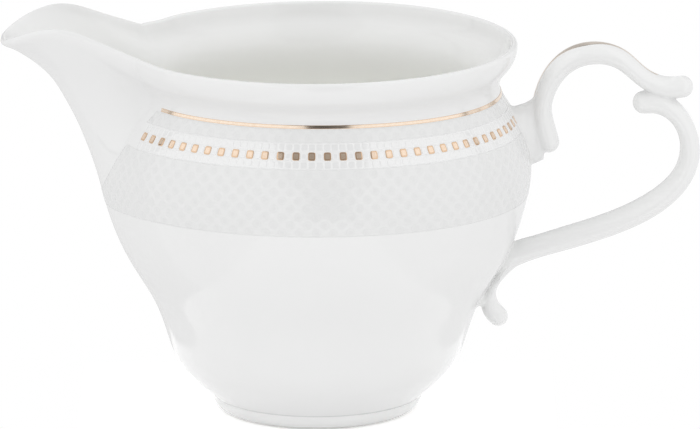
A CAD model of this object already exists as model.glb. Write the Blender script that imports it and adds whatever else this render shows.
"""Looks of the porcelain cream jug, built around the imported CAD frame.  Metres, +Z up."""

import math

import bpy
import numpy as np
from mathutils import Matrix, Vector


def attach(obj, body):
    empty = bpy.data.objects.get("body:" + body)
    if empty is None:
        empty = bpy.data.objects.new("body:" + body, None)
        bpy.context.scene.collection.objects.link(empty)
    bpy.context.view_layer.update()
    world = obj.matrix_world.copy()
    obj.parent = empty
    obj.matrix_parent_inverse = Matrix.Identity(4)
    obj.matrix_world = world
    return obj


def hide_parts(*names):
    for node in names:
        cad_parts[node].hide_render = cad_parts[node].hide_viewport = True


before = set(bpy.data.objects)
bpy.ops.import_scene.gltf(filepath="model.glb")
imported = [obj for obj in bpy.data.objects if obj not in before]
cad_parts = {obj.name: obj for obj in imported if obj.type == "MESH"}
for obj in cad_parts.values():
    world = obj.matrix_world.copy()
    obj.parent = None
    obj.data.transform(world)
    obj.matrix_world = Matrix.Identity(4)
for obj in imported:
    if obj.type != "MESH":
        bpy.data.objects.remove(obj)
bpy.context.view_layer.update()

MM = 0.001
TURN = 2.0 * math.pi
scene = bpy.context.scene

# ---- Bowl and spout, in millimetres: what the part has too is the same but for the arch ----

FOOT_HEIGHT = 3.2
FOOT_RADIUS = 22.0
FOOT_BORE_RADIUS = 15.6
WAIST_RADIUS, WAIST_HEIGHT = 31.8, 17.0
BELLY_RADIUS, BELLY_HEIGHT = 44.85, 51.5
NECK_RADIUS, NECK_HEIGHT = 38.2, 70.0
RIM_RADIUS, RIM_HEIGHT = 41.9, 77.8
WALL = 2.2
RIM_WALL = 1.5
RIM_DIP = 0.37
RIM_PINCH = 0.74
RIM_DIP_ANGLE = 119.0
FLOOR_HEIGHT = 6.0  # the bowl's inner floor
FLOOR_FLAT_RADIUS = 11.0
UNDERSIDE_RISE = 0.5  # the underside's middle stands this much above the foot's top
SPOUT_REACH = 65.7
SPOUT_RISE = 0.65
SPOUT_ARCH = 4.89  # 5.0 in the part; less here, so that the eased edge isn't above the part's
SPOUT_ARCH_SKEW = 1.27
SPOUT_START_ANGLE = 23.0
SPOUT_RIM_ANGLE = 20.5
SPOUT_CHANNEL_HEIGHT = 58.0
SPOUT_TIP_WALL = 1.4
SPOUT_END_ROUNDNESS = 3.5
SPOUT_SIDE_ROUNDNESS = 2.95
SPOUT_STEPS = 10
BOWL_STEPS = 15
LIP_TURNS = (35, 65, 90, 115, 145, 180)  # degrees round the lip at which it has a ring
ROOT_EASE = 0.5  # how much the corner between spout and rim is smoothed


def mix(a, b, share):
    """What lies a share of the way from a to b."""
    return a + (b - a) * share


def smooth_step(value, low, high):
    """0 below low, 1 above high, an eased rise between."""
    t = np.clip((value - low) / (high - low), 0.0, 1.0)
    return t * t * (3.0 - 2.0 * t)


def lookup(table, row, column):
    """Values of a table between its rows and columns."""
    row = np.clip(row, 0.0, table.shape[0] - 1.001)
    column = np.clip(column, 0.0, table.shape[1] - 1.001)
    i, j = row.astype(int), column.astype(int)
    u, v = row - i, column - j
    if table.ndim == 3:
        u, v = u[..., None], v[..., None]
    near, far = (mix(table[i, j + n], table[i + 1, j + n], u) for n in (0, 1))
    return mix(near, far, v)


# ---- Splines ----

def spline_matrix(knots, samples, closed=False):
    """Matrix that takes values at the knots to a cubic spline's values at the samples.

    An open spline is natural.  A closed one has a knot more than values, for the first value again.
    """
    knots, samples = np.asarray(knots, float), np.asarray(samples, float)
    h = np.diff(knots)
    n = len(h) if closed else len(knots)
    columns = np.arange(len(knots)) % n
    left, right = np.zeros((n, n)), np.zeros((n, n))
    for i in range(n) if closed else range(1, n - 1):
        around = [(i - 1) % n, i, (i + 1) % n]
        left[i, around] = h[i - 1], 2.0 * (h[i - 1] + h[i]), h[i]
        right[i, around] = 6.0 / h[i - 1], -6.0 / h[i - 1] - 6.0 / h[i], 6.0 / h[i]
    if not closed:
        left[0, 0] = left[-1, -1] = 1.0
    bend = np.linalg.solve(left, right)
    rows = np.zeros((len(samples), n))
    place = np.clip(np.searchsorted(knots, samples, side="right") - 1, 0, len(h) - 1)
    for row, (k, s) in enumerate(zip(place, samples)):
        step = h[k]
        after = (s - knots[k]) / step
        for share, column in ((1.0 - after, columns[k]), (after, columns[k + 1])):
            rows[row, column] += share
            rows[row] += (share ** 3 - share) * step ** 2 / 6.0 * bend[column]
    return rows


def lengths(points):
    """Running length along a polyline."""
    steps = np.linalg.norm(np.diff(points, axis=0), axis=1)
    return np.concatenate([[0.0], np.cumsum(steps)])


def through(points, count):
    """A smooth open curve through points, as count rows.  Further columns change along with it."""
    points = np.asarray(points, float)
    knots = lengths(points[:, :2])
    return spline_matrix(knots, np.linspace(0.0, knots[-1], count)) @ points


# ---- The wall of bowl and spout ----

def bowl_outline():
    """Radius and height of the bowl's outside, from foot to rim."""
    knots = np.array(((FOOT_RADIUS, FOOT_HEIGHT), (WAIST_RADIUS, WAIST_HEIGHT),
                      (BELLY_RADIUS, BELLY_HEIGHT), (NECK_RADIUS, NECK_HEIGHT),
                      (RIM_RADIUS, RIM_HEIGHT)))
    spans = (((0.0, 0.0), (0.35, 0.22), (0.755, 0.55)),
             ((0.0, 0.0), (0.2, 0.2), (0.625, 0.475), (0.9, 0.765)),
             ((0.0, 0.0), (0.16, 0.35), (0.57, 0.65), (0.9, 0.85)),
             ((0.0, 0.0), (0.32, 0.34), (0.82, 0.66), (1.0, 1.0)))
    return np.concatenate([mix(start, end, np.array(shares))
                           for start, end, shares in zip(knots, knots[1:], spans)])


def spout_outline():
    """Reach and height of the spout's front, one place for each of the bowl's outline."""
    swell = [0.0] * 6 + [0.023, 0.062, 0.204, 0.42, 0.594, 0.69]
    bowl = bowl_outline()
    points = [(r + share * (SPOUT_REACH - RIM_RADIUS), z) for (r, z), share in zip(bowl, swell)]
    tip_height = RIM_HEIGHT + SPOUT_RISE
    for back, drop in ((7.8, 4.7), (1.95, 0.8), (0.0, 0.0)):
        points.append((SPOUT_REACH - back, tip_height - drop))
    return np.array(points)


def outline_frames(points):
    """Unit tangent and outward normal at each point of an outline."""
    knots = lengths(points)
    behind, ahead = (spline_matrix(knots, np.clip(knots + step, 0.0, knots[-1])) @ points
                     for step in (-1e-4, 1e-4))
    tangent = ahead - behind
    tangent /= np.linalg.norm(tangent, axis=1)[:, None]
    return tangent, np.stack([tangent[:, 1], -tangent[:, 0]], axis=1)


def channel_at(height):
    """How far the spout has squared up into a channel at a height."""
    return smooth_step(height, SPOUT_CHANNEL_HEIGHT, RIM_HEIGHT)


def wall_rings():
    """Rows of radius, height, reach, tip height, channel share and arch, foot over lip to floor."""
    bowl, front = bowl_outline(), spout_outline()
    bowl_tangent, bowl_normal = outline_frames(bowl)
    front_tangent, front_normal = outline_frames(front)
    rings = []
    for (r, z), (reach, tip) in zip(bowl, front):
        channel = channel_at(z)
        rings.append((r, z, reach, tip, channel, SPOUT_ARCH * channel ** 2))
    for turn in np.radians(LIP_TURNS):
        out, up = math.cos(turn) - 1.0, math.sin(turn)
        a = bowl[-1] + (bowl_normal[-1] * out + bowl_tangent[-1] * up) * RIM_WALL / 2.0
        b = front[-1] + (front_normal[-1] * out + front_tangent[-1] * up) * SPOUT_TIP_WALL / 2.0
        rings.append((*a, *b, 1.0, SPOUT_ARCH))
    for i in range(len(bowl) - 2, 0, -1):
        channel = channel_at(bowl[i][1])
        a = bowl[i] - bowl_normal[i] * mix(WALL, RIM_WALL, channel ** 3)
        b = front[i] - front_normal[i] * mix(WALL, SPOUT_TIP_WALL, channel)
        rings.append((*a, *b, channel, SPOUT_ARCH * channel ** 2))
    turn_radius = mix(FLOOR_FLAT_RADIUS, rings[-1][0], 0.5)
    turn_height = mix(FLOOR_HEIGHT, rings[-1][1], 0.1)
    for r, z in ((turn_radius, turn_height), (FLOOR_FLAT_RADIUS, FLOOR_HEIGHT)):
        rings.append((r, z, r, z, 0.0, 0.0))
    return rings


def ring_points(ring):
    """One closed ring of the wall, from the spout's tip round by the handle and back."""
    radius, height, reach, tip_height, channel, arch = ring
    root = math.radians(mix(SPOUT_START_ANGLE, SPOUT_RIM_ANGLE, channel))
    dip = RIM_DIP * channel ** 2
    pinch = RIM_PINCH * channel
    narrow = radius - pinch
    half_width = narrow * math.sin(root)
    half = []
    for step in range(SPOUT_STEPS):
        t = step / SPOUT_STEPS
        quarter = 0.5 * math.pi * t
        side = mix(t, math.sin(quarter) ** (2.0 / SPOUT_SIDE_ROUNDNESS), channel)
        push = mix((1.0 - t * t) ** 1.5, math.cos(quarter) ** (2.0 / SPOUT_END_ROUNDNESS), channel)
        y = half_width * side
        x = -math.sqrt(narrow ** 2 - y ** 2) - (reach - narrow) * push
        skewed = push ** SPOUT_ARCH_SKEW
        rise = arch * 4.0 * skewed * (1.0 - skewed) - dip * (1.0 - push)
        half.append((x, y, mix(height, tip_height, push) + rise))
    dip_start = math.radians(RIM_DIP_ANGLE)
    for step in range(BOWL_STEPS + 1):
        angle = mix(root, math.pi, (step / BOWL_STEPS) ** 1.25)
        share = max(0.0, (dip_start - angle) / (dip_start - root))
        r = radius - pinch * share
        half.append((-r * math.cos(angle), r * math.sin(angle), height - dip * share))
    mirrored = [(x, -y, z) for x, y, z in half[-2:0:-1]]
    closed = np.array(half + mirrored)
    eased = np.zeros(len(closed))
    for offset, share in enumerate((1.0, 0.8, 0.3)):
        for place in (SPOUT_STEPS - offset, SPOUT_STEPS + offset):
            eased[[place, -place]] = share * ROOT_EASE * channel
    for _ in range(3):
        before, after = np.roll(closed, 1, axis=0), np.roll(closed, -1, axis=0)
        back, on = (np.linalg.norm(other - closed, axis=1) for other in (before, after))
        between = mix(before, after, (back / (back + on))[:, None])
        closed = mix(closed, between, eased[:, None])
    return closed


OUTER_RINGS = len(bowl_outline())
LAST_LIP_RING = OUTER_RINGS + len(LIP_TURNS) - 1


class Wall:
    """The wall's surface: around from 0 to 1 starting at the spout's tip, along by mean length."""

    def __init__(self):
        self.net = np.array([ring_points(ring) for ring in wall_rings()])
        closed = np.concatenate([self.net, self.net[:, :1]], axis=1)
        chords = np.linalg.norm(np.diff(closed, axis=1), axis=2)[:OUTER_RINGS]
        shares = chords / chords.sum(axis=1)[:, None]
        self.around = np.concatenate([[0.0], np.cumsum(shares.mean(axis=0))])
        self.around /= self.around[-1]
        steps = np.linalg.norm(np.diff(self.net, axis=0), axis=2).mean(axis=1)
        self.along = np.concatenate([[0.0], np.cumsum(steps)])

    def grid(self, around, along):
        """Points (len(along), len(around), 3) of the surface, in millimetres."""
        columns = spline_matrix(self.around, np.asarray(around) % 1.0, closed=True)
        rows = spline_matrix(self.along, along)
        return np.einsum("ij,jkc,lk->ilc", rows, self.net, columns)


wall = Wall()


# ---- Mesh helpers ----

def add_mesh(name, points, faces):
    """New smooth object from points in millimetres and faces of 3 or 4 corners."""
    mesh = bpy.data.meshes.new(name)
    mesh.from_pydata((np.asarray(points) * MM).tolist(), [], faces)
    mesh.update()
    mesh.polygons.foreach_set("use_smooth", np.ones(len(mesh.polygons), bool))
    obj = bpy.data.objects.new(name, mesh)
    scene.collection.objects.link(obj)
    return obj


def add_mark(piece, name, values):
    """A number at each point of a piece, for its paint."""
    piece.data.attributes.new(name, "FLOAT", "POINT").data.foreach_set("value", values)


def grid_faces(rows, columns, closed):
    """Quads of a grid of points, rows by columns, closed round the columns or not."""
    across = columns if closed else columns - 1
    i, j = np.meshgrid(np.arange(rows - 1), np.arange(across), indexing="ij")
    after = (j + 1) % columns
    quads = np.stack([i * columns + j, i * columns + after,
                      (i + 1) * columns + after, (i + 1) * columns + j], axis=-1)
    return quads.reshape(-1, 4).tolist()


def quad_edges(quads):
    """Every side of every quad, as two point numbers."""
    return np.concatenate([quads[:, [n, (n + 1) % 4]] for n in range(4)])


# ---- Jug body ----

BODY_COLUMNS = (45, 86)  # points from the spout's tip to its root and on to the handle
OUTSIDE_STEPS, LIP_STEPS, INSIDE_STEPS = 6, 3, 5  # rows of faces between two rings
FLOOR_RINGS, UNDERSIDE_RINGS = 4, 6
POOL_DEPTHS = (4.0, 19.0)  # below the rim, where the glaze begins to pool and has its full tint


def closing(ring, height, count):
    """Rings that shrink to the jug's axis, to close the floor or the underside."""
    shares = np.linspace(0.0, 1.0, count + 2)[1:-1]
    return mix(ring, np.array([0.0, 0.0, height]), shares[:, None, None])


def make_body():
    """The cast wall of bowl and spout, closed by its floor and its recessed underside."""
    spout_half = wall.around[SPOUT_STEPS]
    near = np.linspace(0.0, spout_half, BODY_COLUMNS[0])
    far = np.linspace(spout_half, 0.5, BODY_COLUMNS[1])[1:]
    half = np.concatenate([near, far])
    around = np.concatenate([half, 1.0 - half[-2:0:-1]])
    steps = np.full(len(wall.along) - 1, OUTSIDE_STEPS)
    steps[OUTER_RINGS:] = LIP_STEPS
    steps[LAST_LIP_RING + 2:] = INSIDE_STEPS
    along = []
    for k, count in enumerate(steps):
        along += list(np.linspace(wall.along[k], wall.along[k + 1], count + 1)[:-1])
    along.append(wall.along[-1])
    points = wall.grid(around, along)
    columns = points.shape[1]
    floor = closing(points[-1], FLOOR_HEIGHT, FLOOR_RINGS)
    below = closing(points[0], FOOT_HEIGHT, UNDERSIDE_RINGS)[::-1]
    share = np.linalg.norm(below[:, :, :2], axis=2) / FOOT_RADIUS
    below[:, :, 2] += UNDERSIDE_RISE * (1.0 - share ** 2)
    layers = np.concatenate([below, points, floor])
    faces = grid_faces(len(layers), columns, True)
    middles = [[0.0, 0.0, FOOT_HEIGHT + UNDERSIDE_RISE], [0.0, 0.0, FLOOR_HEIGHT]]
    flat = np.concatenate([layers.reshape(-1, 3), middles])
    bottom, top = len(flat) - 2, len(flat) - 1
    last = (len(layers) - 1) * columns
    for j in range(columns):
        after = (j + 1) % columns
        faces.append((after, j, bottom))
        faces.append((last + j, last + after, top))
    body = add_mesh("porcelain_body", flat, faces)
    # the paint's marks: how deep inside a point lies, and where the inner glaze is
    first = len(below) + np.searchsorted(along, wall.along[LAST_LIP_RING])
    inside = np.arange(len(layers)) >= first
    pool = smooth_step(RIM_HEIGHT - layers[:, :, 2], *POOL_DEPTHS) * inside[:, None]
    add_mark(body, "glaze_pool", np.concatenate([pool.ravel(), [0.0, 1.0]]))
    lining = np.interp(along, wall.along[[LAST_LIP_RING - 1, LAST_LIP_RING + 2]], [0.0, 1.0])
    lining = np.concatenate([np.zeros(len(below)), lining, np.ones(len(floor))])
    add_mark(body, "glaze_inner", np.concatenate([np.repeat(lining, columns), [0.0, 1.0]]))
    return body


body = make_body()


# ---- Foot ring ----

def make_foot(segments=192):
    """The ring with rounded outside, flat sole and slanted bore; its top is sunk in the bowl."""
    sole = FOOT_RADIUS - FOOT_HEIGHT
    bore = FOOT_BORE_RADIUS
    outline = [(sole - 0.6, 0.0), (sole + 0.35, 0.03)]
    for turn in np.radians(np.linspace(-72, 0, 14)):
        outline.append((sole + FOOT_HEIGHT * math.cos(turn),
                        FOOT_HEIGHT + FOOT_HEIGHT * math.sin(turn)))
    outline += [(FOOT_RADIUS + 0.12, FOOT_HEIGHT + 0.22), (FOOT_RADIUS - 0.3, FOOT_HEIGHT + 0.5),
                (bore - 0.3, FOOT_HEIGHT + 0.9), (bore, FOOT_HEIGHT - 0.4), (bore, 1.4),
                (bore + 0.08, 0.7), (bore + 0.35, 0.2), (bore + 0.9, 0.0)]
    angle = np.linspace(0.0, TURN, segments, endpoint=False)
    radius, height = np.array(outline).T[:, :, None]
    height = np.repeat(height, segments, axis=1)
    points = np.stack([radius * np.cos(angle), radius * np.sin(angle), height], axis=-1)
    faces = np.array(grid_faces(len(outline) + 1, segments, True)) % (len(outline) * segments)
    return add_mesh("foot_ring_glazed", points.reshape(-1, 3), faces.tolist())


foot = make_foot()


# ---- Handle ----

HANDLE_REACH = 80.2
HANDLE_TOP = 78.5
LOWER_ROOT_HEIGHT = 32.5
TAIL_HEIGHT = 19.4
HANDLE_DEPTH = 7.2
ROOT_DEPTH = 11.0
VOXEL = 0.3  # grid step of the handle's distance field
VOXEL_X, VOXEL_Y, VOXEL_Z = (30.0, 82.0), (-7.05, 7.2), (14.0, 83.0)  # and its reach
BOWL_TABLE_STEP = 0.25  # grid step of the table of distances from the bowl
FILLET = 1.1  # how softly clay and glaze fill the corner against the bowl
TAIL_FILLET = 2.4  # the same where the lower scroll lies along the bowl
CREASE = 0.9  # how softly they fill the corner between two scrolls
HEEL_DOWN = 0.705  # share of the way from lower root to tail where the heel touches the bowl
HEEL_OUT = 0.8  # how far the heel's middle stands out from the bowl
HEEL_SIZE = (1.8, HANDLE_DEPTH / 2.0 - 0.9, 1.3)
SLIP_SUNK = 0.02  # the edge of the slip runs out this far below the bowl's surface
SLIP_REACH = 0.9  # how far the slip reaches round the scrolls, as a share of the fillet
IN_WALL = 0.6  # share of the wall into which the handle is sunk
EVENING_ROUNDS = 8
# web of the upper root: share of the way from wall to lobe, rise, half height, less half width
WEB_SECTIONS = ((-1.2, -2.3, 6.4, 0.0), (-0.25, -2.1, 6.4, 0.3), (0.18, -1.6, 6.6, 1.9),
                (0.6, -0.9, 7.1, 3.0), (1.0, -0.5, 6.6, 3.2))


def profile_radius(height):
    """Radius of the bowl's outside at a height."""
    points = through(bowl_outline(), 2000)
    return float(np.interp(height, points[:, 1], points[:, 0]))


def station(out, up, half_thickness, less_deep=0.0):
    """A place on a scroll by shares of the handle's reach and height, and its section there."""
    return (mix(BELLY_RADIUS, HANDLE_REACH, out), mix(LOWER_ROOT_HEIGHT, HANDLE_TOP, up),
            half_thickness, HANDLE_DEPTH / 2.0 - less_deep)


def tail_station(down, half_thickness, clearance, less_deep=0.5):
    """The same for the tail, by its way down and its clearance from the bowl."""
    z = mix(LOWER_ROOT_HEIGHT, TAIL_HEIGHT, down)
    x = profile_radius(z) + clearance + half_thickness
    return x, z, half_thickness, HANDLE_DEPTH / 2.0 - less_deep


UPPER_SCROLL = [station(*row) for row in (
    (0.103, 0.535, 2.25, 0.5), (0.075, 0.607, 2.32, 0.3), (0.063, 0.693, 2.08), (0.088, 0.78, 2.08),
    (0.158, 0.871, 2.23), (0.264, 0.931, 2.33), (0.389, 0.948, 2.3), (0.518, 0.923, 2.1),
    (0.641, 0.847, 1.92), (0.724, 0.806, 2.08), (0.808, 0.788, 2.25, 0.1),
    (0.893, 0.792, 2.25, 0.3))]
LOWER_SCROLL = [station(*row) for row in (
    (0.666, 0.719, 2.35, 0.3), (0.737, 0.719, 2.35, 0.1), (0.839, 0.68, 2.1), (0.915, 0.598, 1.95),
    (0.941, 0.494, 2.1), (0.904, 0.386, 2.22), (0.793, 0.285, 2.4), (0.629, 0.203, 2.48),
    (0.41, 0.133, 2.44), (0.18, 0.077, 2.4), (0.0, 0.035, 2.35, -0.2))]
LOWER_SCROLL += [tail_station(*row) for row in (
    (0.0, 2.25, -0.4, -0.2), (0.24, 1.1, 0.45, 0.3), (0.5, 0.9, 0.6), (0.705, 1.55, 0.6),
    (0.885, 2.0, 1.7), (1.0, 2.05, 3.45))]


def nearest_on_line(line, x, z):
    """For every place in the plane: distance to a line, and the line's further columns there."""
    best = np.full(x.shape, np.inf)
    found = np.zeros(x.shape + (line.shape[1] - 2,))
    for a, b in zip(line[:-1], line[1:]):
        run = b[:2] - a[:2]
        share = np.clip(((x - a[0]) * run[0] + (z - a[1]) * run[1]) / (run @ run), 0.0, 1.0)
        away = np.hypot(x - a[0] - share * run[0], z - a[1] - share * run[1])
        closer = away < best
        best[closer] = away[closer]
        found[closer] = mix(a[2:], b[2:], share[closer][:, None])
    return best, found


def oval_distance(across, depth, half_thickness, half_depth):
    """Nearly the distance from the outline of an ellipse."""
    q = np.sqrt((across / half_thickness) ** 2 + (depth / half_depth) ** 2)
    slope = np.sqrt((across / half_thickness ** 2) ** 2 + (depth / half_depth ** 2) ** 2)
    near = q * (q - 1.0) / np.maximum(slope, 1e-9)
    return np.where(q < 1e-6, -np.minimum(half_thickness, half_depth), near)


def soft_min(a, b, width):
    """Union of two distance fields with a fillet."""
    h = np.maximum(width - np.abs(a - b), 0.0) / width
    return np.minimum(a, b) - h ** 3 * width / 6.0


def bowl_distance(x, y, z):
    """Signed distance from the outside of the bowl, on the handle's side."""
    outline = through(bowl_outline(), 900)
    radii = np.arange(14.0, 84.0, BOWL_TABLE_STEP)
    heights = np.arange(10.0, 90.0, BOWL_TABLE_STEP)
    plane = np.meshgrid(radii, heights, indexing="ij")
    away = nearest_on_line(outline, *plane)[0]
    beyond = plane[0] > np.interp(plane[1], outline[:, 1], outline[:, 0])
    table = np.where(beyond, away, -away)
    row = (np.hypot(x, y) - radii[0]) / BOWL_TABLE_STEP
    return lookup(table, row, (z - heights[0]) / BOWL_TABLE_STEP)


def net_surface(field, origin, step):
    """Closed quad mesh of a field's zero level, one point for each cell that it crosses."""
    inside = field < 0.0
    corners = [(i, j, k) for i in (0, 1) for j in (0, 1) for k in (0, 1)]
    size = [n - 1 for n in field.shape]

    def corner(values, c):
        return values[c[0]:c[0] + size[0], c[1]:c[1] + size[1], c[2]:c[2] + size[2]]

    count = sum(corner(inside, c).astype(int) for c in corners)
    crossed = (count > 0) & (count < 8)
    total = np.zeros(tuple(size) + (3,))
    number = np.zeros(tuple(size))
    for a in corners:
        for axis in range(3):
            if a[axis]:
                continue
            b = tuple(1 if n == axis else a[n] for n in range(3))
            fa, fb = corner(field, a), corner(field, b)
            cut = (fa < 0.0) != (fb < 0.0)
            share = np.where(cut, fa / np.where(cut, fa - fb, 1.0), 0.0)
            for n in range(3):
                total[..., n] += np.where(cut, a[n] + (share if n == axis else 0.0), 0.0)
            number += cut
    index = np.full(tuple(size), -1)
    index[crossed] = np.arange(crossed.sum())
    place = np.argwhere(crossed)
    points = (place + total[crossed] / number[crossed][:, None]) * step + origin
    faces = []
    for axis in range(3):
        u, v = [n for n in range(3) if n != axis]
        cells = np.argwhere(np.diff(inside, axis=axis))
        cells = cells[(cells[:, u] > 0) & (cells[:, v] > 0)
                      & (cells[:, u] < size[u]) & (cells[:, v] < size[v])]
        around = np.repeat(cells[:, None], 4, axis=1)
        around[:, :, u] += (-1, 0, 0, -1)
        around[:, :, v] += (-1, -1, 0, 0)
        rings = index[tuple(np.moveaxis(around, -1, 0))]
        backward = inside[tuple(cells.T)] == (axis == 1)
        rings[backward] = rings[backward][:, ::-1]
        faces.extend(rings.tolist())
    return points, faces


def relaxed(points, faces, rounds):
    """Evens a quad mesh out without shrinking it."""
    quads = np.array(faces)
    pairs = quad_edges(quads)
    pairs = np.concatenate([pairs, pairs[:, ::-1]])
    count = np.bincount(pairs[:, 0], minlength=len(points))[:, None]
    for _ in range(rounds):
        for strength in (0.5, -0.52):
            total = np.stack([np.bincount(pairs[:, 0], weights=points[pairs[:, 1], n],
                                          minlength=len(points)) for n in range(3)], axis=1)
            points = points + strength * (total / count - points)
    return points


def make_handle():
    """Both scrolls, the upper root's web and the heel, with slip filled in along the bowl."""
    x, y, z = (np.arange(*reach, VOXEL) for reach in (VOXEL_X, VOXEL_Y, VOXEL_Z))
    plane = np.meshgrid(x, z, indexing="ij")
    full = np.meshgrid(x, y, z, indexing="ij")
    scrolls = []
    for stations in (UPPER_SCROLL, LOWER_SCROLL):
        away, sizes = nearest_on_line(through(stations, 400), *plane)
        thick, deep = np.moveaxis(sizes, -1, 0)[:, :, None]
        scrolls.append(oval_distance(away[:, None], y[:, None], thick, deep))
    bar = soft_min(scrolls[0], scrolls[1], CREASE)
    lobe = UPPER_SCROLL[1]
    wall_x = profile_radius(lobe[1])
    sections = np.array([(mix(wall_x, lobe[0], share), rise, tall, ROOT_DEPTH / 2.0 - less)
                         for share, rise, tall, less in WEB_SECTIONS])
    rise, tall, wide = [np.interp(full[0], sections[:, 0], sections[:, n]) for n in (1, 2, 3)]
    web = oval_distance(full[2] - lobe[1] - rise, full[1], tall, wide)
    bar = soft_min(bar, np.maximum(web, full[0] - lobe[0]), CREASE)
    heel_height = mix(LOWER_ROOT_HEIGHT, TAIL_HEIGHT, HEEL_DOWN)
    heel_place = (profile_radius(heel_height) + HEEL_OUT, 0.0, heel_height)
    heel = np.sqrt(sum(((at - middle) / size) ** 2
                       for at, middle, size in zip(full, heel_place, HEEL_SIZE)))
    bar = soft_min(bar, (heel - 1.0) * HEEL_SIZE[2], CREASE)
    bowl = bowl_distance(*full)
    near_root = smooth_step(full[2], LOWER_ROOT_HEIGHT, LOWER_ROOT_HEIGHT + 6.0)
    fillet = mix(TAIL_FILLET, FILLET, near_root)
    joined = soft_min(bar, bowl + SLIP_SUNK, fillet)
    solid = np.maximum(joined, bar - fillet * SLIP_REACH)
    solid = np.maximum(solid, -(bowl + WALL * IN_WALL))
    points, faces = net_surface(solid, np.array([x[0], y[0], z[0]]), VOXEL)
    handle = add_mesh("scroll_handle", relaxed(points, faces, EVENING_ROUNDS), faces)
    handle.data.set_sharp_from_angle(angle=math.radians(50))
    return handle


handle = make_handle()


# ---- Places on the outside of the bowl ----

class Outside:
    """Looks up points of the wall's outside by angle from the spout and by height."""

    ROWS, COLUMNS = 500, 1441

    def __init__(self):
        along = np.linspace(wall.along[3], wall.along[OUTER_RINGS - 1], self.ROWS)
        self.points = wall.grid(np.linspace(0.0, 1.0, self.COLUMNS), along)
        self.length = along[-1] - along[0]
        across = np.gradient(self.points, axis=1)
        across[:, 0] = across[:, -1] = self.points[:, 1] - self.points[:, -2]
        normal = np.cross(across, np.gradient(self.points, axis=0))
        outwards = np.sign(np.sum(normal * self.points * (1.0, 1.0, 0.0), axis=2))
        self.normals = normal / np.linalg.norm(normal, axis=2)[..., None] * outwards[..., None]
        self.turn = np.unwrap(np.arctan2(self.points[..., 1], -self.points[..., 0]), axis=1)
        self.turn += np.where(self.turn[:, :1] < -1.0, TURN, 0.0)

    def spots(self, turn, height):
        """Points and outward normals at angles (radians, 0 to a full turn) and heights."""
        turn, height = np.broadcast_arrays(np.mod(turn, TURN), height)
        column = np.interp(turn, self.turn[self.ROWS // 2], np.arange(self.COLUMNS))
        row = np.interp(height, self.points[:, self.COLUMNS // 2, 2], np.arange(self.ROWS))
        for _ in range(5):
            missing = turn - lookup(self.turn, row, column)
            column = column + missing * (self.COLUMNS - 1) / TURN
            missing = height - lookup(self.points[..., 2], row, column)
            row = row + missing * (self.ROWS - 1) / self.length
        return lookup(self.points, row, column), lookup(self.normals, row, column)


outside = Outside()


def layer(name, points, normals, lift, mark, tones, keep=None, closed=False):
    """Thin closed layer on a surface: a lifted top, an underside below the glaze, side walls."""
    rows, columns = lift.shape
    quads = np.array(grid_faces(rows, columns, closed))
    if keep is not None:
        quads = quads[keep.ravel()]
    top = points + normals * lift[..., None]
    below = points - normals * LAYER_DEPTH
    count = rows * columns
    edges = quad_edges(quads)
    key = edges.min(axis=1) * count + edges.max(axis=1)
    _, first, uses = np.unique(key, return_index=True, return_counts=True)
    rim = edges[first[uses == 1]]
    walls = np.stack([rim[:, 1], rim[:, 0], rim[:, 0] + count, rim[:, 1] + count], axis=1)
    faces = np.concatenate([quads, quads[:, ::-1] + count, walls])
    used = np.unique(faces)
    renumber = np.zeros(2 * count, int)
    renumber[used] = np.arange(len(used))
    flat = np.concatenate([top.reshape(-1, 3), below.reshape(-1, 3)])[used]
    piece = add_mesh(name, flat, renumber[faces].tolist())
    add_mark(piece, mark, np.concatenate([tones.ravel(), np.zeros(count)])[used])
    return piece


# ---- Fired trim; heights, angles and the stripe's width differ a little from the part's ----

LAYER_DEPTH = 0.05  # underside of a layer below the glaze
NECK_LINE_HEIGHT = NECK_HEIGHT - 1.1
NECK_LINE_WIDTH = 0.75
LINE_SAG = (0.55, 0.9)  # how far the line hangs towards the spout and the handle
LINE_START_ANGLE = 31.9  # from the spout's plane, degrees
SQUARES_HEIGHT = NECK_LINE_HEIGHT - 5.5
SQUARES_SAG = (0.6, 0.65)
SQUARE = 1.55
SQUARE_CORNER = 0.4  # power that shapes the corners: 1 would make a circle, 0 a sharp square
SQUARE_LIFT = 0.08
PEARL_SQUARE = 0.84 * SQUARE
PEARL_SQUARE_LIFT = 0.075
SQUARE_ANGLE = 4.5  # from one gold square to the next, degrees
FIRST_SQUARE_ANGLE = 30.2  # from the spout's plane, degrees
SQUARES_PER_SIDE = 33
RIBBON_WIDTH = 1.5
RIBBON_GAP = 0.1
RIBBON_LIFT, TILE_LIFT = 0.035, 0.08  # of the grooves between tiles and of the tiles
NET_LOWER_HEIGHT = BELLY_HEIGHT - 4.25
NET_CLEAR_HEIGHT = BELLY_HEIGHT - 2.1
NET_CLEAR_HALF_WIDTH = 19.3
NET_SAG = 1.6  # further sag of the net's lower edge right under the spout
NET_CELL_HEIGHT = 3.35
NET_CELLS_ROUND = 80
NET_SAMPLES = 12  # grid steps across one cell of the net
NET_EDGE = 0.05  # width of the slope at the net's lower and upper edge
NET_LIFT, DOT_LIFT = 0.065, 0.02  # of the net's ridges and of the dots between them
HANDLE_LINE_WIDTH = 3.3  # where the stripe is widest
STRIPE_MIDDLE = 55.8  # how far out that is on the arch
STRIPE_SPREAD = 4.0  # how far from there the swelling is down to a third
STRIPE_THIN = 0.35  # share of the width that is left at its ends
LINE_SHARE = (NECK_LINE_HEIGHT - SQUARES_HEIGHT) / (SQUARES_HEIGHT - NET_LOWER_HEIGHT)


def sag(turns, spout_side, handle_side, power=2):
    """How far a fired transfer hangs below its height at the jug's side, towards either end."""
    near_spout, near_handle = np.maximum(np.cos(turns), 0.0), np.maximum(-np.cos(turns), 0.0)
    return spout_side * near_spout ** power + handle_side * near_handle ** power


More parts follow.
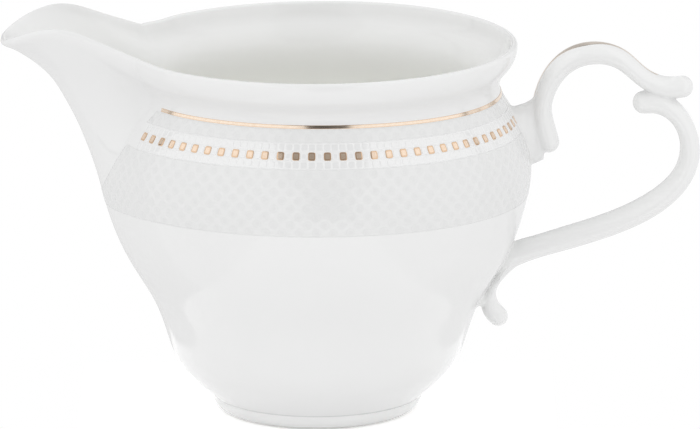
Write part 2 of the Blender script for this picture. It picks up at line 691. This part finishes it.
def window_turns(heights):
    """How far round from the spout's plane the transfers begin, at each height."""
    top = NECK_LINE_HEIGHT + NECK_LINE_WIDTH
    curve = through([(0.0, 0.0), (0.4, 0.08), (0.78, 0.36), (0.89, 0.7), (1.0, 1.0)], 200)
    shares = (heights - NET_CLEAR_HEIGHT) / (top - NET_CLEAR_HEIGHT)
    widths = np.interp(shares, curve[:, 1], curve[:, 0]) * NET_CLEAR_HALF_WIDTH
    turns = np.linspace(0.0, 0.5 * math.pi, 400)
    half_widths = outside.spots(turns, heights[:, None])[0][:, :, 1]
    return np.array([np.interp(width, across, turns) if share > 0.0 else 0.0
                     for width, across, share in zip(widths, half_widths, shares)])


def make_net(name, low, high):
    """Net of crossing ridges round satin dots, left out beside and below the spout."""
    rows = max(4, int(round((high - low) / NET_CELL_HEIGHT * NET_SAMPLES)))
    heights = np.linspace(low + NET_EDGE, high - NET_EDGE, rows)
    heights = np.concatenate([[low], heights, [high]])
    turns = np.linspace(0.0, TURN, NET_CELLS_ROUND * NET_SAMPLES, endpoint=False)
    edge = window_turns(heights)[:, None]
    signed = np.where(turns > math.pi, turns - TURN, turns)[None, :]
    inside = np.abs(signed) < edge
    both = inside & np.roll(inside, -1, axis=1)
    keep = ~(both[:-1] & both[1:])
    pushed = np.where(signed < 0.0, -1.0, 1.0) * np.maximum(np.abs(signed), edge)
    heights = heights[:, None]
    share = (SQUARES_HEIGHT - heights) / (SQUARES_HEIGHT - NET_LOWER_HEIGHT)
    hang = sag(pushed, *SQUARES_SAG)
    hang = np.where(share > 0.0, hang + share * sag(pushed, NET_SAG, 0.0, 8),
                    hang - share / LINE_SHARE * (sag(pushed, *LINE_SAG) - hang))
    points, normals = outside.spots(pushed, heights - hang)
    u = pushed * NET_CELLS_ROUND / TURN
    v = (heights - BELLY_HEIGHT) / NET_CELL_HEIGHT
    cell = np.abs(0.5 * (np.cos(TURN * u) + np.cos(TURN * v)))
    border = inside.copy()
    border[0] = border[-1] = True
    dot = smooth_step(cell, 0.25, 0.8)
    lift = np.where(border, 0.0, mix(NET_LIFT, DOT_LIFT, dot))
    return layer(name, points, normals, lift, "dot", dot * ~border, keep, closed=True)


def make_ribbon(name, middle):
    """Band of small cushioned tiles, two to each square of the middle row."""
    pitch = math.radians(SQUARE_ANGLE / 2.0)
    start = math.radians(FIRST_SQUARE_ANGLE - SQUARE_ANGLE / 4.0)
    shares = np.array([0.0, 0.05, 0.1, 0.18, 0.34, 0.5, 0.66, 0.82, 0.9, 0.95])
    count = int((math.pi - start) / pitch)
    half = start + (np.arange(count)[:, None] + shares).ravel() * pitch
    half = np.append(half, start + count * pitch)
    turns = np.concatenate([half, TURN - half[::-1]])
    profile = np.array([0.0, 0.03, 0.07, 0.12, 0.2, 0.35, 0.5, 0.65, 0.8, 0.88, 0.93, 0.97, 1.0])
    heights = middle + (profile - 0.5) * RIBBON_WIDTH
    points, normals = outside.spots(turns, heights[:, None] - sag(turns, *SQUARES_SAG))
    along = np.append(np.tile(np.abs(shares - 0.5) * 2.0, count), 1.0)
    along = np.concatenate([along, along[::-1]])
    across = np.abs(profile - 0.5) * 2.0
    edge = (along ** 6 + (across[:, None] * 1.12) ** 6) ** (1.0 / 6.0)
    tile = 1.0 - smooth_step(edge, 0.78, 0.92)
    lift = mix(RIBBON_LIFT, TILE_LIFT, tile)
    lift[[0, -1]] = lift[:, [0, -1]] = -0.02
    return layer(name, points, normals, lift, "tile", tile)


def make_squares(name, offset, count, size, crown):
    """Row of rounded squares on both sides of the jug, each a closed cushion with a flat top."""
    rings = ((0.3, 0.0), (0.55, 0.0), (0.7, 0.001), (0.78, 0.006), (0.86, 0.008), (0.93, 0.016),
             (0.98, 0.04), (1.0, crown + 0.05))
    steps = 28
    angle = np.linspace(0.0, TURN, steps, endpoint=False)
    outline_x, outline_z = (np.sign(side) * np.abs(side) ** SQUARE_CORNER
                            for side in (np.cos(angle), np.sin(angle)))
    points, faces, rim = [], [], []
    for step in range(count):
        turn = math.radians(FIRST_SQUARE_ANGLE + offset + step * SQUARE_ANGLE)
        middle = SQUARES_HEIGHT - float(sag(turn, *SQUARES_SAG))
        for centre in (turn, -turn):
            spot, up = (found[0] for found in outside.spots(np.array([centre]), middle))
            radius = math.hypot(spot[0], spot[1])
            start = len(points)
            points.append(spot + up * crown)
            rim.append(0.0)
            for share, drop in rings:
                turns = centre + outline_x * size / 2.0 * share / radius
                ring = outside.spots(turns, middle + outline_z * size / 2.0 * share)[0]
                points.extend(ring + up * (crown - drop - (ring - spot) @ up)[:, None])
                rim.extend([float(smooth_step(share, 0.55, 0.74))] * steps)
            points.append(spot - up * 0.06)
            rim.append(1.0)
            last = start + 1 + (len(rings) - 1) * steps
            for j in range(steps):
                after = (j + 1) % steps
                faces.append((start, start + 1 + j, start + 1 + after))
                faces.append((last + after, last + j, last + steps))
                for a in range(start + 1, last, steps):
                    faces.append((a + j, a + steps + j, a + steps + after, a + after))
    piece = add_mesh(name, np.array(points), faces)
    add_mark(piece, "rim", rim)
    return piece


def section(half):
    """Places across a band and their lifts, given from its middle outwards, for both halves."""
    shares, lifts = np.array(half).T
    return np.append(-shares[:0:-1], shares), np.append(lifts[:0:-1], lifts)


def gilt_band(name, points, normals, lifts, rim):
    """Open band of gilding with the same section all along and its two ends sunk in the glaze."""
    columns = points.shape[1]
    lift = np.repeat(lifts[:, None], columns, axis=1)
    lift[:, [0, -1]] = lifts[0]
    return layer(name, points, normals, lift, "rim", np.repeat(rim[:, None], columns, axis=1))


def make_neck_line():
    """Gold line round the neck, open at the spout."""
    shares, lifts = section(((0.0, 0.073), (0.4, 0.072), (0.75, 0.07), (0.9, 0.058),
                             (0.97, 0.03), (1.0, -0.03)))
    heights = NECK_LINE_HEIGHT + shares * NECK_LINE_WIDTH / 2.0
    start = math.radians(LINE_START_ANGLE)
    turns = np.linspace(start, TURN - start, 720)
    points, normals = outside.spots(turns, heights[:, None] - sag(turns, *LINE_SAG))
    return gilt_band("neck_line_gilt", points, normals, lifts,
                     smooth_step(np.abs(shares), 0.5, 0.9))


def make_handle_stripe():
    """Gilt stripe on the outer face of the arch, between the root and the tongue."""
    line = through(UPPER_SCROLL, 600)
    knots = lengths(np.array(UPPER_SCROLL)[:, :2])
    place = np.linspace(0.0, knots[-1], 600)
    x, z, half_thickness, half_depth = line[(place > knots[2]) & (place < knots[9])].T
    tangent = np.gradient(np.stack([x, z]), axis=1)
    tangent /= np.linalg.norm(tangent, axis=0)
    out_x, out_z = -tangent[1], tangent[0]
    shares, lifts = section(((0.0, 0.03), (0.3, 0.03), (0.6, 0.025), (0.88, 0.02),
                             (0.97, 0.01), (1.0, -0.03)))
    swelling = np.exp(-((x - STRIPE_MIDDLE) / STRIPE_SPREAD) ** 2)
    width = HANDLE_LINE_WIDTH / 2.0 * mix(STRIPE_THIN, 1.0, swelling)
    depth = shares[:, None] * width
    height = half_thickness * np.sqrt(1.0 - (depth / half_depth) ** 2)
    points = np.stack([x + out_x * height, depth, z + out_z * height], axis=-1)
    up = height / half_thickness ** 2
    normals = np.stack([out_x * up, depth / half_depth ** 2, out_z * up], axis=-1)
    normals /= np.linalg.norm(normals, axis=2)[..., None]
    return gilt_band("handle_stripe_gilt", points, normals, lifts,
                     smooth_step(np.abs(shares), 0.8, 0.97))


half_row = SQUARE / 2.0 + RIBBON_GAP
ribbon_middle = half_row + RIBBON_WIDTH / 2.0
net_lower = make_net("net_lower", NET_LOWER_HEIGHT,
                     SQUARES_HEIGHT - half_row - RIBBON_WIDTH - RIBBON_GAP)
net_upper = make_net("net_upper", SQUARES_HEIGHT + half_row + RIBBON_WIDTH + RIBBON_GAP,
                     NECK_LINE_HEIGHT - NECK_LINE_WIDTH / 2.0 - RIBBON_GAP)
ribbon_upper = make_ribbon("tile_row_upper", SQUARES_HEIGHT + ribbon_middle)
ribbon_lower = make_ribbon("tile_row_lower", SQUARES_HEIGHT - ribbon_middle)
gilt_squares = make_squares("gilt_squares", 0.0, SQUARES_PER_SIDE, SQUARE, SQUARE_LIFT)
pearl_squares = make_squares("pearl_squares", SQUARE_ANGLE / 2.0, SQUARES_PER_SIDE - 1,
                             PEARL_SQUARE, PEARL_SQUARE_LIFT)
neck_line = make_neck_line()
handle_stripe = make_handle_stripe()


# ---- Nodes and materials ----

class Nodes:
    """The node tree of a material or world, and short ways to add to it."""

    def __init__(self, owner):
        owner.use_nodes = True
        self.tree = owner.node_tree

    def put(self, socket, source):
        """Sets an input to a number or colour, or joins another node's output to it."""
        if isinstance(source, bpy.types.NodeSocket):
            self.tree.links.new(source, socket)
        else:
            socket.default_value = (*source, 1.0) if isinstance(source, tuple) else source

    def add(self, kind, *sources, named=None, **settings):
        """New node with its first inputs and its named ones put to sources; returns its outputs."""
        node = self.tree.nodes.new("ShaderNode" + kind)
        for name, value in settings.items():
            setattr(node, name, value)
        for socket, source in zip(node.inputs, sources):
            self.put(socket, source)
        for name, source in (named or {}).items():
            self.put(node.inputs[name], source)
        return node.outputs

    def math(self, operation, a, b, clamp=False):
        return self.add("Math", a, b, operation=operation, use_clamp=clamp)[0]

    def ramp(self, value, low, high, to_low, to_high):
        """A number from low to high taken to one from to_low to to_high."""
        return self.add("MapRange", value, low, high, to_low, to_high)["Result"]


class Paint(Nodes):
    """A Principled material and short ways to add nodes to it."""

    def __init__(self, name, colour, roughness, metallic=0.0):
        self.material = bpy.data.materials.new(name)
        super().__init__(self.material)
        self.shader = self.tree.nodes["Principled BSDF"]
        self.set("Base Color", colour)
        self.set("Roughness", roughness)
        self.set("IOR", 1.5)
        self.set("Metallic", metallic)
        self.place = self.add("TexCoord")["Object"]

    def set(self, socket, source):
        self.put(self.shader.inputs[socket], source)

    def noise(self, scale, detail=2.0):
        """Noise over the object, with the scale in waves per metre."""
        return self.add("TexNoise", self.place, named={"Scale": scale, "Detail": detail})["Fac"]

    def mark(self, name):
        """A piece's mark of this name."""
        return self.add("Attribute", attribute_name=name)["Fac"]

    def blend(self, share, a, b):
        """Colour between two, which are colours or sockets, by a share from a socket."""
        outputs = self.add("Mix", share, data_type="RGBA")
        inputs = [one for one in outputs[0].node.inputs if one.type == "RGBA"]
        for socket, colour in zip(inputs, (a, b)):
            self.put(socket, colour)
        return [one for one in outputs if one.type == "RGBA"][0]

    def bump(self, height, distance, strength=1.0):
        """Relief from a height, as deep as the distance in metres."""
        named = {"Height": height, "Distance": distance, "Strength": strength}
        self.set("Normal", self.add("Bump", named=named)["Normal"])


GLAZE = (0.83, 0.831, 0.83)
GLAZE_FOOT = (0.88, 0.882, 0.878)
GLAZE_HANDLE = (0.84, 0.842, 0.839)
GLAZE_INNER = (0.81, 0.812, 0.806)
GLAZE_DEEP = (0.974, 0.976, 0.95)
GOLD = (0.96, 0.77, 0.61)
GOLD_EDGE = (0.80, 0.575, 0.40)


def make_glaze(name, colour, pooled=False):
    """Clear glossy glaze: faint cloudy tint, slightly uneven gloss, a hint of orange peel."""
    paint = Paint(name, colour, 0.08)
    cloud = tuple(0.99 * share for share in colour)
    clouds = paint.blend(paint.ramp(paint.noise(45.0), 0.35, 0.65, 0.0, 1.0), colour, cloud)
    if pooled:
        clouds = paint.blend(paint.mark("glaze_inner"), clouds, GLAZE_INNER)
        clouds = paint.blend(paint.mark("glaze_pool"), clouds, GLAZE_DEEP)
    paint.set("Base Color", clouds)
    paint.set("Roughness", paint.ramp(paint.noise(160.0, 3.0), 0.3, 0.7, 0.06, 0.11))
    paint.bump(paint.noise(260.0, 1.0), 0.00002, 0.5)
    return paint.material


def make_biscuit():
    """Bare, faintly speckled porcelain."""
    paint = Paint("bare_porcelain_sole", (0.80, 0.79, 0.765), 0.7)
    paint.set("Base Color", paint.blend(paint.noise(900.0, 4.0), (0.82, 0.81, 0.785),
                                        (0.76, 0.745, 0.715)))
    paint.bump(paint.noise(3000.0, 4.0), 0.00003)
    return paint.material


def make_gold(name, middle_roughness, middle=GOLD, edge=GOLD_EDGE):
    """Fired bright gold: pale and a little worn in the middle, redder and glossier at its edge."""
    paint = Paint(name, middle, 0.15, metallic=1.0)
    duller = tuple(mix(a, b, 0.4) for a, b in zip(middle, edge))
    worn = paint.blend(paint.ramp(paint.noise(1400.0, 3.0), 0.45, 0.75, 0.0, 1.0), middle, duller)
    paint.set("Base Color", paint.blend(paint.mark("rim"), worn, edge))
    paint.set("Roughness", paint.ramp(paint.mark("rim"), 0.0, 1.0, middle_roughness, 0.10))
    paint.bump(paint.noise(700.0), 0.000008, 0.6)
    return paint.material


def make_pearl(name, tints, mark, metal):
    """White lustre in two tints, with the share of metal where the mark is 0 and where it is 1."""
    paint = Paint(name, (0.88, 0.88, 0.875), 0.12)
    paint.set("Base Color", paint.blend(paint.noise(500.0), *tints))
    paint.set("Metallic", paint.ramp(paint.mark(mark), 0.0, 1.0, *metal))
    return paint


def make_net_paint():
    """White transfer with slightly greyer satin dots in its cells."""
    paint = Paint("net_transfer_white", (0.86, 0.865, 0.86), 0.2)
    net = paint.blend(paint.noise(220.0), (0.79, 0.792, 0.79), (0.775, 0.778, 0.776))
    paint.set("Base Color", paint.blend(paint.mark("dot"), net, (0.755, 0.758, 0.756)))
    paint.set("Roughness", paint.ramp(paint.mark("dot"), 0.0, 1.0, 0.16, 0.32))
    return paint.material


pearl = make_pearl("pearl_lustre", ((0.85, 0.852, 0.852), (0.825, 0.827, 0.827)),
                   "tile", (0.0, 0.14))
pearl.bump(pearl.noise(900.0), 0.00001, 0.5)
pearl_square = make_pearl("pearl_square_lustre", ((0.85, 0.853, 0.855), (0.825, 0.828, 0.83)),
                          "rim", (0.14, 0.02))
net_paint = make_net_paint()
line_paint = make_gold("fired_gold_line", 0.16, (0.97, 0.82, 0.68), (0.84, 0.63, 0.46))
worn_paint = make_gold("fired_gold_handle", 0.42, (0.92, 0.84, 0.76), (0.84, 0.75, 0.66))


# ---- Pieces, bodies, slots and paint ----

for piece, slot, nodes, paint in (
        (body, "porcelain", ("jug_body",), make_glaze("glaze_body", GLAZE, True)),
        (foot, "foot", ("foot_ring",), make_glaze("glaze_foot", GLAZE_FOOT)),
        (handle, "handle_porcelain", ("handle", "upper_handle_seam", "lower_handle_seam",
                                      "tail_seam"), make_glaze("glaze_handle", GLAZE_HANDLE)),
        (net_lower, "net", ("net_transfer_lower",), net_paint),
        (net_upper, "net", ("net_transfer_upper",), net_paint),
        (ribbon_upper, "lustre", ("tile_ribbon_upper",), pearl.material),
        (ribbon_lower, "lustre", ("tile_ribbon_lower",), pearl.material),
        (gilt_squares, "gold", ("gold_squares",), make_gold("fired_gold_squares", 0.18)),
        (pearl_squares, "lustre", ("white_squares",), pearl_square.material),
        (neck_line, "gold", ("gold_neck_line",), line_paint),
        (handle_stripe, "gold", ("handle_gold_line",), worn_paint)):
    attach(piece, "root")
    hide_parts(*nodes)
    piece.data.materials.append(paint)
foot.data.materials.append(make_biscuit())
for polygon in foot.data.polygons:
    if polygon.center.z < 0.35 * MM and polygon.normal.z < -0.6:
        polygon.material_index = 1


# ---- Floor ----

FLOOR_SIZE = 50.0, 200.0, 35.0  # half its width, and how far it reaches to the front and back
FLOOR_GLOW = 0.075  # own light of the floor for the jug
FLOOR_SHOWN = 0.38  # the same for the camera and in reflections


def make_floor():
    """White table: plain white to the camera, with the jug's faint shadow."""
    half, front, back = FLOOR_SIZE
    corners = [(-half, -front, 0.0), (half, -front, 0.0), (half, back, 0.0), (-half, back, 0.0)]
    table = add_mesh("floor", corners, [(0, 1, 2, 3)])
    material = bpy.data.materials.new("floor_white")
    nodes = Nodes(material)
    nodes.tree.nodes.clear()
    path = nodes.add("LightPath")
    seen = nodes.math("ADD", path["Is Camera Ray"], path["Is Glossy Ray"], clamp=True)
    seen = nodes.math("ADD", seen, path["Is Transmission Ray"], clamp=True)
    level = nodes.ramp(seen, 0.0, 1.0, FLOOR_GLOW, FLOOR_SHOWN)
    paper = nodes.add("BsdfDiffuse", (0.9, 0.9, 0.9))[0]
    glow = nodes.add("Emission", (1.0, 1.0, 1.0), level)[0]
    nodes.add("OutputMaterial", nodes.add("AddShader", paper, glow)[0])
    table.data.materials.append(material)


make_floor()


# ---- World ----

SKY_SIDES = 0.62  # diffuse light from low down
SKY_BAND = 0.7  # how much more of it comes from half way up
SKY_TABLE = 0.98  # diffuse light from below
EDGE = 0.012  # softness of the gaps' edges


class Value:
    """A number that the world's nodes work out, with the usual signs for arithmetic."""

    def __init__(self, nodes, socket):
        self.nodes = nodes
        self.socket = socket

    def math(self, operation, a, b=0.0, clamp=False):
        a, b = (one.socket if isinstance(one, Value) else one for one in (a, b))
        return Value(self.nodes, self.nodes.math(operation, a, b, clamp))

    def __add__(self, other):
        return self.math("ADD", self, other)

    def __mul__(self, other):
        return self.math("MULTIPLY", self, other)

    def __rsub__(self, other):
        return self.math("SUBTRACT", other, self)

    def size(self):
        return self.math("ABSOLUTE", self)

    def at_least(self, other):
        return self.math("MAXIMUM", self, other)

    def above(self, low, high):
        """0 below low, 1 above high, straight between."""
        return self.math("MULTIPLY", self.math("SUBTRACT", self, low), 1.0 / (high - low), True)


def make_world():
    """White studio.  Only glossy rays see the dark gaps and strips between its soft boxes."""
    world = bpy.data.worlds.new("studio")
    scene.world = world
    nodes = Nodes(world)
    split = nodes.add("SeparateXYZ", nodes.add("TexCoord")["Generated"])
    x, y, z = (Value(nodes, split[n]) for n in range(3))

    def weighted(a, b, c):
        return x * a + y * b + z * c

    def wedge(left, right):
        """1 between two planes through the jug's middle, 0 beyond them."""
        return weighted(*left).above(0.0, EDGE) * weighted(*right).above(0.0, EDGE)

    # the gap in front of the jug: narrow low down, wider from a third of the way up
    narrow = wedge((1.0, -0.14, 0.0), (-1.0, -0.365, 0.0))
    gap = wedge((1.0, -0.20, 0.289), (-1.0, -0.41, 0.243)) * narrow.at_least(z.above(0.3, 0.35))
    gap_level = weighted(1.0, 0.10, 0.0).above(-0.02, 0.05) * 0.05 + 0.08 + z.above(0.5, 0.6) * 0.27
    # dark strips at both sides of the jug and the dimmer wall behind them
    dark, behind = [], []
    for side, lean, rise in ((1.0, 0.249, 0.19), (-1.0, 0.305, 0.10)):
        away = weighted(-side * lean, 1.0, -rise)
        beside = (x * side).above(0.0, 0.05)
        near = (1.0 - away.size().above(0.02, 0.035)) * z.above(-0.32, -0.26)
        dark.append(near * beside)
        behind.append(away.above(0.02, 0.06) * beside)
    over = z.above(-0.05, 0.15) * (1.0 - x.size().above(0.3, 0.6))
    dimming = x.above(0.1, -0.1) * 0.1 + 0.12 + over * 0.35
    level = (1.0 - (behind[0] + behind[1]) * dimming) * (1.0 - (dark[0] + dark[1]) * 0.9)
    level = level * (1.0 - gap) + gap_level * gap
    # light for diffuse rays: a bright band half way up and the table below
    band = z.above(0.0, 0.45) * (1.0 - z.above(0.72, 1.0))
    light = band * SKY_BAND + SKY_SIDES + (z * -1.0).above(0.0, 0.1) * (SKY_TABLE - SKY_SIDES)
    shown = 1.0
    path = nodes.add("LightPath")
    for ray, value in (("Is Glossy Ray", level), ("Is Diffuse Ray", light)):
        share = Value(nodes, path[ray])
        shown = value * share + (1.0 - share) * shown
    background = nodes.tree.nodes["Background"]
    nodes.put(background.inputs["Color"], (1.0, 1.0, 1.0))
    nodes.put(background.inputs["Strength"], shown.socket)


make_world()


# ---- Camera ----

CAMERA_DISTANCE = 1.68
CAMERA_ELEVATION = math.radians(13.5)
CAMERA_TARGET = Vector((0.00689, 0.0, 0.04139))
camera_data = bpy.data.cameras.new("camera")
camera_data.sensor_width = 36.0
camera_data.lens = 411.4
camera = bpy.data.objects.new("camera", camera_data)
camera_side = Vector((0.0, -math.cos(CAMERA_ELEVATION), math.sin(CAMERA_ELEVATION)))
camera.location = CAMERA_TARGET + CAMERA_DISTANCE * camera_side
camera.rotation_euler = (CAMERA_TARGET - camera.location).to_track_quat("-Z", "Y").to_euler()
scene.collection.objects.link(camera)
scene.camera = camera

scene.view_settings.view_transform = "Standard"
